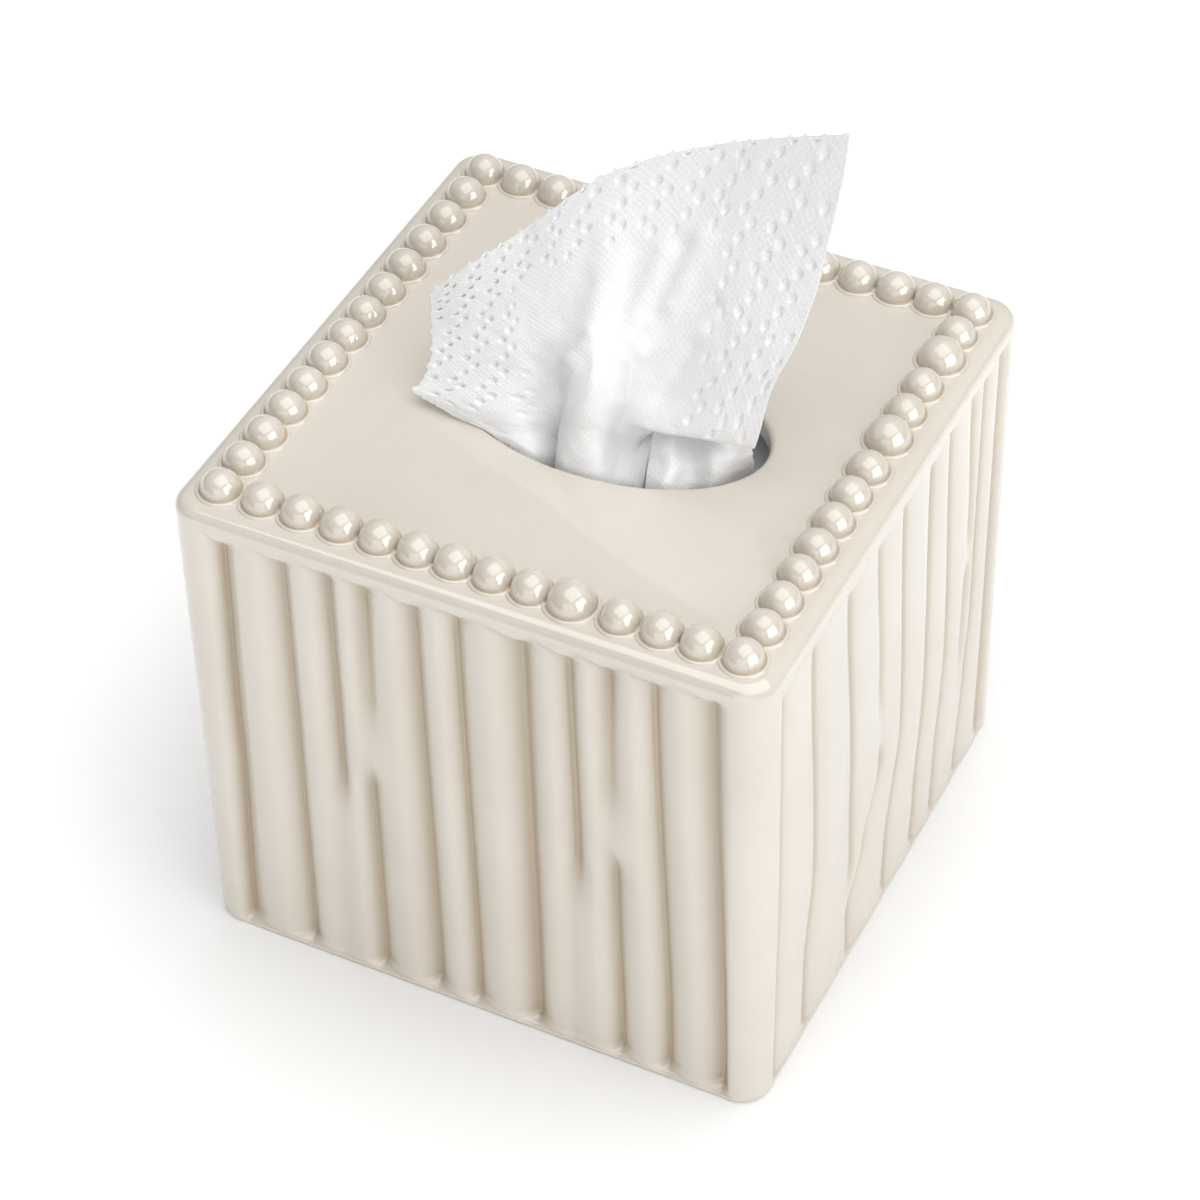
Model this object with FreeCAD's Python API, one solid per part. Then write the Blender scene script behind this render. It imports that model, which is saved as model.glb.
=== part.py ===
import FreeCAD, Part
import math
import os

# Tissue box cover: a glazed ceramic cover over a cube carton, with a sheet standing out of its opening.
# Millimetres. The origin is the middle of the footprint on the table, +Z is up and -Y is the front.

V = FreeCAD.Vector

# Driving sizes: the carton, and the cover made to go over it
CARTON_WIDTH = 114.0
CARTON_HEIGHT = 124.0
BOARD = 0.8
CARTON_HOLE_LENGTH = 92.0
CARTON_HOLE_WIDTH = 58.0
SIDE_GAP = 9.5
HEAD_GAP = 3.5
WALL = 6.5
TOP_PLATE = 6.5

# Cover edges
CORNER_R = 7.5
TOP_EDGE_R = 3.5
FOOT_EDGE_R = 1.2
INNER_CORNER_R = 5.0
LIP_R = 1.6

# Opening in the top plate
OPENING_LENGTH = 75.0
OPENING_WIDTH = 44.0
OPENING_X = 3.5
OPENING_Y = -3.0

# Bead border
BEAD_D = 9.2
LARGE_BEAD_D = 10.6
BEAD_RISE = 0.5
BEAD_INSET = 9.6
BEAD_GAP_MIN = 0.25
LARGE_BEADS = {"front": [9], "right": [8, 11], "back": [], "left": []}

# Carved ribs
RIB_BAND_TOP = 4.3
RIB_BAND_FOOT = 2.4
RIB_RECESS = 0.45
GROOVE_DEPTH = 3.0
GROOVE_END = 5.0
RIB_FLANK = 0.62

# Film and paper inside the carton
FILM = 0.3
FILM_MARGIN = 5.0
SLIT_WIDTH = 26.0
SLIT_END = 1.5
STACK_HEIGHT = 98.0
STACK_GAP = 1.5
STACK_CORNER_R = 2.0
PAPER = 0.9
PAPER_GAP = 0.3
RIM_TOUCH = 0.4

# Raised sheet, measured from the middle of the opening at the top of the plate
SHEET_RIM_GAP = 6.5
SHEET_TIP = (50.5, 11.0, 85.0)
SHEET_LEFT = (-45.0, -1.0, 20.5)

# Sizes that follow
cover_width = CARTON_WIDTH + 2 * (SIDE_GAP + WALL)
cover_height = CARTON_HEIGHT + HEAD_GAP + TOP_PLATE
half = cover_width / 2
hole_a = OPENING_LENGTH / 2
hole_b = OPENING_WIDTH / 2
stack_top = BOARD + STACK_HEIGHT
film_top = CARTON_HEIGHT - BOARD
ceiling_r = 0.6 * INNER_CORNER_R


def rounded_block(width, height, corner_r, z):
    """A square block with rounded upright edges, standing on the level z."""
    block = Part.makeBox(width, width, height, V(-width / 2, -width / 2, z))
    uprights = [e for e in block.Edges if abs(e.tangentAt(e.FirstParameter).z) > 0.9]
    return block.makeFillet(corner_r, uprights)


def edges_at(shape, z):
    """The edges of a shape that lie on the level z."""
    found = []
    for edge in shape.Edges:
        box = edge.BoundBox
        if abs(box.ZMin - z) < 0.01 and abs(box.ZMax - z) < 0.01:
            found.append(edge)
    return found


def oval(length, width, x, y, z, height):
    """An upright oval block."""
    if length >= width:
        ellipse = Part.Ellipse(V(x, y, z), length / 2, width / 2)
    else:
        ellipse = Part.Ellipse(V(x, y + width / 2, z), V(x - length / 2, y, z), V(x, y, z))
    return Part.Face(Part.Wire(ellipse.toShape())).extrude(V(0, 0, height))


# Rib lines. Each groove is a list of (share of the height from the top, place along the face, depth).
# Places are in twelfths of the flat face from its middle, depths are shares of GROOVE_DEPTH.
FRONT_GROOVES = [
    [(0.0, -5.50, 1.0), (0.5, -5.60, 1.0), (1.0, -5.73, 1.0)],
    [(0.0, -4.14, 1.0), (1.0, -4.18, 1.0)],
    [(0.0, -3.09, 1.0), (0.56, -3.09, 1.0), (0.68, -3.18, 0.3), (1.0, -3.30, 0.3)],
    [(0.0, -2.27, 0.45), (0.40, -2.32, 0.25), (0.52, -2.41, 1.0), (1.0, -2.41, 1.0)],
    [(0.0, -1.14, 1.0), (1.0, -1.05, 1.0)],
    [(0.0, -0.18, 1.0), (1.0, -0.07, 1.0)],
    [(0.0, 1.27, 1.1), (1.0, 1.36, 1.1)],
    [(0.0, 2.32, 1.0), (0.56, 2.41, 1.0), (0.68, 2.36, 0.3), (1.0, 2.36, 0.3)],
    [(0.0, 3.18, 0.5), (0.38, 3.18, 0.25), (0.52, 3.27, 1.0), (1.0, 3.36, 1.0)],
    [(0.0, 4.18, 1.0), (1.0, 4.48, 1.0)],
    [(0.0, 5.45, 1.0), (1.0, 5.75, 1.0)],
]
RIGHT_GROOVES = [
    [(0.0, -5.70, 0.8), (0.5, -5.60, 0.8), (1.0, -5.72, 0.8)],
    [(0.0, -4.14, 0.9), (0.6, -3.70, 0.9), (0.85, -4.08, 0.9), (1.0, -4.08, 0.9)],
    [(0.0, -2.36, 0.9), (0.55, -1.82, 0.9), (0.78, -1.70, 0.8), (0.85, -1.95, 0.2), (1.0, -2.30, 0.1)],
    [(0.0, -0.86, 0.8), (0.40, -0.45, 0.7), (0.55, -0.30, 0.2), (0.62, -0.22, 0.9), (0.75, -1.05, 0.9),
     (0.90, -1.80, 0.9), (1.0, -1.80, 0.9)],
    [(0.0, 0.45, 0.9), (0.60, 0.88, 0.9), (0.88, 0.33, 0.9), (1.0, 0.29, 0.9)],
    [(0.0, 1.90, 0.9), (0.60, 2.20, 0.9), (0.88, 1.95, 0.9), (1.0, 1.88, 0.9)],
    [(0.0, 2.90, 0.9), (0.60, 3.36, 0.9), (0.88, 3.06, 0.9), (1.0, 3.01, 0.9)],
    [(0.0, 4.10, 0.8), (0.36, 4.36, 0.6), (0.44, 4.38, 0.2), (0.50, 4.34, 0.7), (0.66, 4.28, 0.6),
     (0.74, 4.20, 0.1), (1.0, 3.95, 0.1)],
    [(0.0, 4.77, 0.9), (0.60, 4.82, 0.9), (0.75, 4.66, 0.9), (1.0, 4.38, 0.9)],
    [(0.0, 5.64, 0.8), (1.0, 5.74, 0.8)],
]


def along(points, share, item):
    """Value number item of a groove at a share of the height, eased between the groove's points."""
    for low, high in zip(points, points[1:]):
        if share <= high[0]:
            part = (share - low[0]) / (high[0] - low[0])
            part = part * part * (3 - 2 * part)
            return low[item] + (high[item] - low[item]) * part
    return points[-1][item]


def even_knots(count):
    """Knots and their repeats for a smooth line over a number of control points."""
    knots = list(range(count - 2))
    return knots, [4] + [1] * (count - 4) + [4]


def rib_face(rows):
    """One rib's smooth face through its control points, from the groove on its left to the next one."""
    knots_u, mults_u = even_knots(len(rows))
    knots_v, mults_v = even_knots(len(rows[0]))
    surface = Part.BSplineSurface()
    surface.buildFromPolesMultsKnots(rows, mults_u, mults_v, knots_u, knots_v, False, False, 3, 3)
    return surface.toShape()


def relief_panel(grooves):
    """The solid that is carved off one face, drawn for the front face and reaching out past it."""
    flat = half - CORNER_R
    pitch = 2 * flat / 12
    z_top = cover_height - RIB_BAND_TOP
    height = z_top - RIB_BAND_FOOT
    end_share = GROOVE_END / height
    steps = [0.0, 0.35 * end_share, 0.7 * end_share, end_share]
    middle = 14
    across = 6
    steps += [end_share + (1 - 2 * end_share) * k / middle for k in range(1, middle)]
    steps += [1 - end_share, 1 - 0.7 * end_share, 1 - 0.35 * end_share, 1.0]
    ribs = [[] for k in range(len(grooves) + 1)]
    for share in steps:
        places = [-flat] + [along(g, share, 1) * pitch for g in grooves] + [flat]
        end = min(1.0, share / end_share, (1 - share) / end_share)
        end = end * end * (3 - 2 * end)
        depths = [0.0] + [along(g, share, 2) * GROOVE_DEPTH * end for g in grooves] + [0.0]
        for k, rib in enumerate(ribs):
            gap = places[k + 1] - places[k]
            row = []
            for j in range(across + 1):
                part = j / across
                near = max(0.0, 1 - part / RIB_FLANK) ** 2 * depths[k]
                far = max(0.0, 1 - (1 - part) / RIB_FLANK) ** 2 * depths[k + 1]
                y = -half + RIB_RECESS + near + far
                row.append(V(places[k] + gap * part, y, z_top - share * height))
            rib.append(row)
    skin = Part.makeCompound([rib_face(rib) for rib in ribs])
    skin.sewShape()
    return skin.Shells[0].extrude(V(0, -WALL, 0))


def make_plain_cover():
    """The cast body before carving: plain block, hollow from below, with the oval opening."""
    body = rounded_block(cover_width, cover_height, CORNER_R, 0)
    body = body.makeFillet(TOP_EDGE_R, edges_at(body, cover_height))
    body = body.makeFillet(FOOT_EDGE_R, edges_at(body, 0))
    room = rounded_block(cover_width - 2 * WALL, cover_height - TOP_PLATE, INNER_CORNER_R, 0)
    room = room.makeFillet(ceiling_r, edges_at(room, cover_height - TOP_PLATE))
    body = body.cut(room)
    below = cover_height - 2 * TOP_PLATE
    body = body.cut(oval(OPENING_LENGTH, OPENING_WIDTH, OPENING_X, OPENING_Y, below, 3 * TOP_PLATE))
    lip = []
    for z in (cover_height, cover_height - TOP_PLATE):
        for edge in edges_at(body, z):
            if edge.BoundBox.XLength < OPENING_LENGTH + 1 and edge.BoundBox.YLength < OPENING_WIDTH + 1:
                if edge.isClosed():
                    lip.append(edge)
    return body.makeFillet(LIP_R, lip)


def make_shell():
    """The cover in five pieces, the top and four carved walls mitred at the corners."""
    body = make_plain_cover()
    level = cover_height - TOP_PLATE - ceiling_r
    reach = 2 * half
    top = body.common(Part.makeBox(2 * reach, 2 * reach, reach, V(-reach, -reach, level)))
    corners = [V(0, 0, 0), V(-reach, -reach, 0), V(reach, -reach, 0), V(0, 0, 0)]
    wedge = Part.Face(Part.makePolygon(corners)).extrude(V(0, 0, level))
    pieces = {}
    for name, turn in (("front", 0), ("right", 90), ("back", 180), ("left", 270)):
        panel = relief_panel(FRONT_GROOVES if turn in (0, 180) else RIGHT_GROOVES)
        panel.rotate(V(0, 0, 0), V(0, 0, 1), turn)
        quarter = wedge.copy()
        quarter.rotate(V(0, 0, 0), V(0, 0, 1), turn)
        pieces["shell_" + name] = body.common(quarter).cut(panel).Solids[0]
        top = top.cut(panel)
    pieces["shell_top"] = top.Solids[0]
    return pieces


def bead(diameter, x, y):
    """One bead: a ball pressed on to the plate, with a flat seat."""
    r = diameter / 2
    rise = min(BEAD_RISE, 0.6 * r)
    ball = Part.makeSphere(r, V(x, y, cover_height + rise))
    keep = Part.makeBox(2 * diameter, 2 * diameter, 2 * diameter, V(x - diameter, y - diameter, cover_height))
    return ball.common(keep).Solids[0]


def bead_row(large, turn):
    """The beads of one side, from its left corner up to the next corner's bead."""
    line = half - BEAD_INSET
    extra = (LARGE_BEAD_D - BEAD_D) * len(large)
    spaces = int((2 * line - extra) // (BEAD_D + BEAD_GAP_MIN))
    sizes = [LARGE_BEAD_D if k in large else BEAD_D for k in range(spaces)]
    gap = (2 * line - sum(sizes)) / spaces
    place = -line
    beads = []
    for k, size in enumerate(sizes):
        beads.append(bead(size, place, -line))
        following = sizes[k + 1] if k + 1 < spaces else BEAD_D
        place += (size + following) / 2 + gap
    row = Part.makeCompound(beads)
    row.rotate(V(0, 0, 0), V(0, 0, 1), turn)
    return row


def make_carton():
    """The paperboard carton, open only at its oval."""
    side = CARTON_WIDTH / 2
    outer = Part.makeBox(2 * side, 2 * side, CARTON_HEIGHT, V(-side, -side, 0))
    inner = side - BOARD
    room = Part.makeBox(2 * inner, 2 * inner, CARTON_HEIGHT - 2 * BOARD, V(-inner, -inner, BOARD))
    hole = oval(CARTON_HOLE_LENGTH, CARTON_HOLE_WIDTH, 0, 0, CARTON_HEIGHT - 2 * BOARD, 4 * BOARD)
    return outer.cut(room).cut(hole)


def make_film():
    """The film glued under the carton's top, parted at its slit."""
    length = min(CARTON_HOLE_LENGTH + 2 * FILM_MARGIN, CARTON_WIDTH - 2 * BOARD)
    width = min(CARTON_HOLE_WIDTH + 2 * FILM_MARGIN, CARTON_WIDTH - 2 * BOARD)
    sheet = Part.makeBox(length, width, FILM, V(-length / 2, -width / 2, film_top - FILM))
    slit_length = OPENING_LENGTH - 2 * SLIT_END
    slit = oval(slit_length, SLIT_WIDTH, OPENING_X, OPENING_Y, film_top - 3 * FILM, 5 * FILM)
    return sheet.cut(slit)


def folded_strip(levels, stations):
    """A sheet lofted up through its levels.

    A level is its left end, right end, lean, the depths of its stations and the bow of each fold.
    Each fold is an arc from one station to the next, bowed by a share of its width, backwards if positive.
    """
    wires = []
    for left, right, lean, depths, bows in levels:
        across = right - left
        back = V(0, math.cos(math.radians(lean)), math.sin(math.radians(lean)))
        thick = back * PAPER
        points = [left + across * u + back * d for u, d in zip(stations, depths)]
        front_edges = []
        back_edges = []
        for start, stop, bow in zip(points, points[1:], bows):
            crown = (start + stop) * 0.5 + back * (bow * (stop - start).Length)
            front_edges.append(Part.Arc(start, crown, stop).toShape())
            back_edges.insert(0, Part.Arc(stop + thick, crown + thick, start + thick).toShape())
        far = Part.makeLine(points[-1], points[-1] + thick)
        near = Part.makeLine(points[0] + thick, points[0])
        wires.append(Part.Wire(front_edges + [far] + back_edges + [near]))
    sheet = Part.makeLoft(wires, True, True)
    if sheet.Volume < 0:
        sheet.reverse()
    return sheet


def spot(x, y, z):
    """A point given from the middle of the opening, at the level z."""
    return V(OPENING_X + x, OPENING_Y + y, z)


def make_raised_sheet():
    """The sheet that stands in the opening: gathered neck, left flap, pleat, hollow and right flap."""
    rim = hole_a - SHEET_RIM_GAP
    front = hole_b - SHEET_RIM_GAP
    tip = spot(SHEET_TIP[0], SHEET_TIP[1], cover_height + SHEET_TIP[2])
    left_point = spot(SHEET_LEFT[0], SHEET_LEFT[1], cover_height + SHEET_LEFT[2])
    left_low = spot(-rim - 10.0, -16.5, cover_height + 3.5)
    right_low = spot(rim + 8.0, -9.5, cover_height + 11.0)
    left_edge = left_point - left_low
    right_edge = tip - right_low
    foot = stack_top + PAPER_GAP
    brim = cover_height + RIM_TOUCH
    stations = [0.0, 0.33, 0.42, 0.54, 0.78, 1.0]
    levels = [
        (spot(14 - rim, -4, foot), spot(8, -4, foot), 0,
         [0, 0, 0, 0, 0, 0], [-0.2, 0.4, -0.4, 0.25, -0.25]),
        (spot(8 - rim, -6, film_top), spot(10, -6, film_top), 0,
         [0, -1, 0, 0, 0, 0], [-0.2, 0.45, -0.45, 0.3, -0.25]),
        (spot(2.5 - rim, 0.5 - front, brim), spot(13, 3 - front, brim), 0,
         [0, -3, -1, -2, 1, 0], [-0.1, 0.45, -0.45, 0.3, -0.2]),
        (left_low, right_low, 20,
         [0, 0, 3, 1, 5, 0], [-0.12, 0.45, -0.45, 0.22, 0.1]),
        (left_low + left_edge * 0.5, right_low + right_edge * 0.33, 35,
         [0, 2, 4, 3, 5, 0], [-0.08, 0.35, -0.35, 0.15, 0.1]),
        (left_low + left_edge * 0.8, right_low + right_edge * 0.68, 45,
         [0, 5, 6, 6, 6, 0], [0.04, 0.15, -0.15, 0.08, 0.06]),
        (left_point, tip, 50,
         [0, 9, 10, 11, 8, 0], [0.06, 0.05, -0.05, 0.05, 0.04]),
    ]
    return folded_strip(levels, stations)


def make_next_sheet():
    """The folded tip of the next sheet, waiting in the slit beside the raised one."""
    end = hole_a - SHEET_RIM_GAP
    front = hole_b - SHEET_RIM_GAP
    stations = [0.0, 0.25, 0.5, 0.75, 1.0]
    level = [0, 0, 0, 0, 0]
    waist = (film_top + stack_top) / 2
    levels = [
        (spot(14, -3, stack_top), spot(end - 5, -2, stack_top), 0, level, [0.2, -0.2, 0.2, -0.2]),
        (spot(14, -4, waist), spot(end - 4, -2, waist), 0, level, [0.2, -0.2, 0.2, -0.2]),
        (spot(14.5, -6, film_top), spot(end - 3, -4, film_top), 0, level, [0.25, -0.25, 0.25, -0.25]),
        (spot(15.5, 3 - front, cover_height - 5), spot(end - 1, -8, cover_height - 6), 0,
         level, [0.2, -0.22, 0.22, -0.2]),
        (spot(16, 2 - front, cover_height - 1.5), spot(end, -9, cover_height - 3), 0,
         level, [0.15, -0.22, 0.2, -0.22]),
    ]
    return folded_strip(levels, stations)


def make_stack():
    """The folded sheets that are left in the carton."""
    width = CARTON_WIDTH - 2 * (BOARD + STACK_GAP)
    return rounded_block(width, STACK_HEIGHT, STACK_CORNER_R, BOARD)


parts = make_shell()
parts.update({
    "bead_row_front": bead_row(LARGE_BEADS["front"], 0),
    "bead_row_right": bead_row(LARGE_BEADS["right"], 90),
    "bead_row_back": bead_row(LARGE_BEADS["back"], 180),
    "bead_row_left": bead_row(LARGE_BEADS["left"], 270),
    "tissue_carton": make_carton(),
    "carton_film": make_film(),
    "tissue_stack": make_stack(),
    "next_tissue": make_next_sheet(),
    "raised_tissue": make_raised_sheet(),
})

os.makedirs("parts", exist_ok=True)
for name, shape in parts.items():
    shape.exportStep("parts/" + name + ".step")
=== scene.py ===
import math
from collections import namedtuple

import bpy
import numpy as np
from mathutils import Matrix, Vector


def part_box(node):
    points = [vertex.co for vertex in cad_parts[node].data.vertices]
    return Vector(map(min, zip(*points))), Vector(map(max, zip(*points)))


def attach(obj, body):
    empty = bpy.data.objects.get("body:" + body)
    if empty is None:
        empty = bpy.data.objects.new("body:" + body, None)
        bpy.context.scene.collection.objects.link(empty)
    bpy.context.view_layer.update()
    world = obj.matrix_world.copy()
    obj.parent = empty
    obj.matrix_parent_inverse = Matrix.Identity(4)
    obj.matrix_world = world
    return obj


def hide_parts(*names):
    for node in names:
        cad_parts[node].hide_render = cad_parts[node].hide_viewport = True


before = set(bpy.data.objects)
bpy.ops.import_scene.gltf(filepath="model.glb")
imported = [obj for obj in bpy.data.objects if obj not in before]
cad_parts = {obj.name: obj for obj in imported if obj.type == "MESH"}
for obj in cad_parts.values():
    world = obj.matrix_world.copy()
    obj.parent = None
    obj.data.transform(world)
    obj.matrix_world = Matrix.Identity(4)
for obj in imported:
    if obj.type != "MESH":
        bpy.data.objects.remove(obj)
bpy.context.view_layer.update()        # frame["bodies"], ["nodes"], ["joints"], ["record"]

# Tissue box cover. Lengths are in millimetres up to the mesh builder, which writes metres.
# Materials, lamps and the stage are in metres.
MM = 0.001
rng = np.random.default_rng(7)


def frame_size(name, axis):
    """The highest place of a solid along an axis, in millimetres."""
    return round(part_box(name)[1][axis] / MM, 2)


# Sizes of the cover. Its half width and height come from the frame, and walls, corners, lip, opening and
# beads repeat the part's own sizes.
HALF, HEIGHT = frame_size("shell_top", 0), frame_size("shell_top", 2)
WALL, PLATE = 6.5, 6.5
CORNER_R, INNER_R, LIP_R = 7.5, 5.0, 1.6
HOLE_A, HOLE_B, HOLE_X, HOLE_Y = 37.5, 22.0, 3.5, -3.0
BEAD_D, LARGE_BEAD_D, BEAD_RISE, BEAD_INSET = 9.2, 10.6, 0.5, 9.6
FLAT = HALF - CORNER_R
BEAD_LINE = HALF - BEAD_INSET
# Rounding of the foot, of the corner under the ceiling and of the top edge, which is not quite an arc
FOOT_R, CEILING_R = 1.8, 3.0
TOP_DROP, TOP_IN, TOP_POWER = 3.1, 4.2, 0.96

# Camera, fitted to the photograph: place, angles, focal length in pixels and size of its frame
CAM_POS = np.array([295.186, -585.911, 690.922])
CAM_AZ, CAM_EL, CAM_ROLL = math.radians(26.922), math.radians(43.343), math.radians(-1.209)
CAM_F, FRAME_PX = 3803.2, 1200
CAM_MID = FRAME_PX / 2


def camera_axes():
    """Right, up and back directions of the camera."""
    level_share, rise = math.cos(CAM_EL), math.sin(CAM_EL)
    back = np.array([math.sin(CAM_AZ) * level_share, -math.cos(CAM_AZ) * level_share, rise])
    right = np.cross(-back, [0, 0, 1.0])
    right /= np.linalg.norm(right)
    up = np.cross(right, -back)
    c, s = math.cos(CAM_ROLL), math.sin(CAM_ROLL)
    return c * right + s * up, -s * right + c * up, back


CAM_RIGHT, CAM_UP, CAM_BACK = camera_axes()


def view_ray(px, py):
    """Direction of the line of sight through a place in the camera's frame."""
    return -CAM_BACK + (px - CAM_MID) / CAM_F * CAM_RIGHT - (py - CAM_MID) / CAM_F * CAM_UP


def on_ray(px, py, y):
    """The point at depth y that the camera sees at a place in its frame."""
    ray = view_ray(px, py)
    return CAM_POS + ray * ((y - CAM_POS[1]) / ray[1])


def in_frame(points):
    """Places in the camera's frame of an array of points."""
    d = points - CAM_POS
    depth = -(d @ CAM_BACK)
    return np.stack([CAM_MID + CAM_F * (d @ CAM_RIGHT) / depth, CAM_MID - CAM_F * (d @ CAM_UP) / depth], -1)


def smooth(x):
    """An eased step from 0 to 1."""
    x = np.clip(x, 0.0, 1.0)
    return x * x * (3 - 2 * x)


def quarter(count):
    """Angles evenly spread from 0 to 90 degrees, in radians."""
    return np.radians(np.linspace(0, 90, count))


def quarter_turn(x, y, turn):
    """Plan places turned from the front face to face number turn: front, right, back, left."""
    c, s = [(1, 0), (0, 1), (-1, 0), (0, -1)][turn]
    return c * x - s * y, s * x + c * y


# Mesh building

def grid_faces(rows, cols, loop_rows=False, loop_cols=False, first=0):
    """Four-sided faces of a grid of points, closed either way if asked."""
    index = np.arange(rows * cols).reshape(rows, cols) + first
    if loop_rows:
        index = np.vstack([index, index[:1]])
    if loop_cols:
        index = np.hstack([index, index[:, :1]])
    return np.stack([index[:-1, :-1], index[:-1, 1:], index[1:, 1:], index[1:, :-1]], -1).reshape(-1, 4)


def mesh_object(name, points, faces, material, fields=None, uv=None):
    """A smooth mesh piece from points in millimetres, with named point values and an optional UV map."""
    mesh = bpy.data.meshes.new(name)
    mesh.from_pydata((np.asarray(points) * MM).tolist(), [], [list(f) for f in faces])
    mesh.polygons.foreach_set("use_smooth", np.ones(len(mesh.polygons), bool))
    for key, values in (fields or {}).items():
        layer = mesh.attributes.new(key, "FLOAT", "POINT")
        layer.data.foreach_set("value", np.asarray(values, np.float32).ravel())
    if uv is not None:
        corner = np.empty(len(mesh.loops), np.int32)
        mesh.loops.foreach_get("vertex_index", corner)
        layer = mesh.uv_layers.new(name="flat")
        layer.data.foreach_set("uv", np.asarray(uv, np.float32)[corner].ravel())
    mesh.update()
    mesh.materials.append(material)
    piece = bpy.data.objects.new(name, mesh)
    bpy.context.scene.collection.objects.link(piece)
    return piece


def normals_of(grid):
    """Unit normals of a grid of points."""
    n = np.cross(np.gradient(grid, axis=1), np.gradient(grid, axis=0))
    return n / np.maximum(np.linalg.norm(n, axis=2, keepdims=True), 1e-9)


def unit(vectors):
    """Rows of vectors scaled to length one."""
    return vectors / np.maximum(np.linalg.norm(vectors, axis=1, keepdims=True), 1e-6)


def step_lengths(points, axis):
    """Distances from point to point along one way of an array of points."""
    return np.linalg.norm(np.diff(points, axis=axis), axis=-1)


def running(steps):
    """Distance from the first point, given the steps."""
    return np.append(0, np.cumsum(steps))


def spline(table, knots, at):
    """Smooth curve values at places along knots; table holds one row per knot."""
    step = np.diff(knots)
    shape = (-1,) + (1,) * (table.ndim - 1)
    weight = step.reshape(shape)
    slope = np.diff(table, axis=0) / weight
    tangent = np.zeros_like(table)
    tangent[1:-1] = (slope[:-1] * weight[1:] + slope[1:] * weight[:-1]) / (weight[1:] + weight[:-1])
    tangent[0], tangent[-1] = slope[0], slope[-1]
    cell = np.clip(np.searchsorted(knots, at, side="right") - 1, 0, len(step) - 1)
    h = step[cell].reshape(shape)
    t = ((at - knots[cell]) / step[cell]).reshape(shape)
    return ((2 * t ** 3 - 3 * t ** 2 + 1) * table[cell] + (t ** 3 - 2 * t ** 2 + t) * h * tangent[cell]
            + (3 * t ** 2 - 2 * t ** 3) * table[cell + 1] + (t ** 3 - t ** 2) * h * tangent[cell + 1])


def spaced(control, axis, first=0):
    """Knots along one way of a control net, by the mean distance between its lines."""
    step = step_lengths(control, axis)
    knots = running(step.mean(1) if axis == 0 else step[first:].mean(0))
    return knots / knots[-1]


def net_surface(control, rows, cols, first=0):
    """A fine grid over a control net; its columns are spaced by the net's rows from first on."""
    grid = spline(control, spaced(control, 0), np.linspace(0, 1, rows))
    grid = spline(grid.transpose(1, 0, 2), spaced(control, 1, first), np.linspace(0, 1, cols))
    return grid.transpose(1, 0, 2)


# Material building

def linear(r, g, b):
    """Linear colour of an sRGB colour given in 0 to 255."""
    c = np.array([r, g, b]) / 255.0
    low = c / 12.92
    high = ((c + 0.055) / 1.055) ** 2.4
    return tuple(float(v) for v in np.where(c <= 0.04045, low, high)) + (1.0,)


def new_material(name):
    material = bpy.data.materials.new(name)
    material.use_nodes = True
    tree = material.node_tree
    return material, tree, tree.nodes["Principled BSDF"]


def set_inputs(tree, made, inputs):
    """Link sockets to a node's inputs and set values on the others, by name or number."""
    for key, value in inputs.items():
        if isinstance(value, bpy.types.NodeSocket):
            tree.links.new(value, made.inputs[key])
        else:
            made.inputs[key].default_value = value


def node(tree, kind, inputs=None, **settings):
    made = tree.nodes.new(kind)
    for key, value in settings.items():
        setattr(made, key, value)
    set_inputs(tree, made, inputs or {})
    return made


def mix_colour(tree, amount, a, b):
    return node(tree, "ShaderNodeMix", {0: amount, 6: a, 7: b}, data_type="RGBA").outputs[2]


def math_node(tree, operation, a, b):
    return node(tree, "ShaderNodeMath", {0: a, 1: b}, operation=operation).outputs[0]


def value_range(tree, value, low, high, to_low=0.0, to_high=1.0):
    return node(tree, "ShaderNodeMapRange", {0: value, 1: low, 2: high, 3: to_low, 4: to_high}).outputs[0]


def object_place(tree):
    return node(tree, "ShaderNodeTexCoord").outputs["Object"]


def noise(tree, place, scale, detail=2.0, roughness=0.5):
    inputs = {"Vector": place, "Scale": scale, "Detail": detail, "Roughness": roughness}
    return node(tree, "ShaderNodeTexNoise", inputs).outputs["Fac"]


def mapped(tree, place, scale=(1.0, 1.0, 1.0), turn=0.0):
    inputs = {"Vector": place, "Scale": scale, "Rotation": (0, 0, turn)}
    return node(tree, "ShaderNodeMapping", inputs).outputs[0]


def point_value(tree, name):
    return node(tree, "ShaderNodeAttribute", attribute_name=name).outputs["Fac"]


def bump(tree, height, strength, distance):
    inputs = {"Strength": strength, "Distance": distance, "Height": height}
    return node(tree, "ShaderNodeBump", inputs).outputs[0]


# Colours of the materials
GLAZE_LOW, GLAZE_HIGH = linear(219, 211, 198), linear(224, 217, 205)
# The darkest glaze colour stands for pooled glaze together with painted shade in the hollows
GLAZE_SPECK, GLAZE_POOL_AND_SHADE, GLAZE_BARE = linear(203, 192, 173), linear(184, 167, 141), linear(222, 214, 200)
PAPER_LOW, PAPER_HIGH = linear(243, 243, 245), linear(252, 252, 253)
BOARD_LOW, BOARD_HIGH, BOARD_CLOUD = linear(216, 220, 219), linear(226, 229, 227), linear(232, 233, 230)
FILM_LOW, FILM_HIGH = linear(228, 232, 236), linear(242, 245, 248)
FLOOR_LOW, FLOOR_HIGH = linear(247, 247, 247), linear(249, 249, 249)
WHITE = (1, 1, 1, 1)


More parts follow.
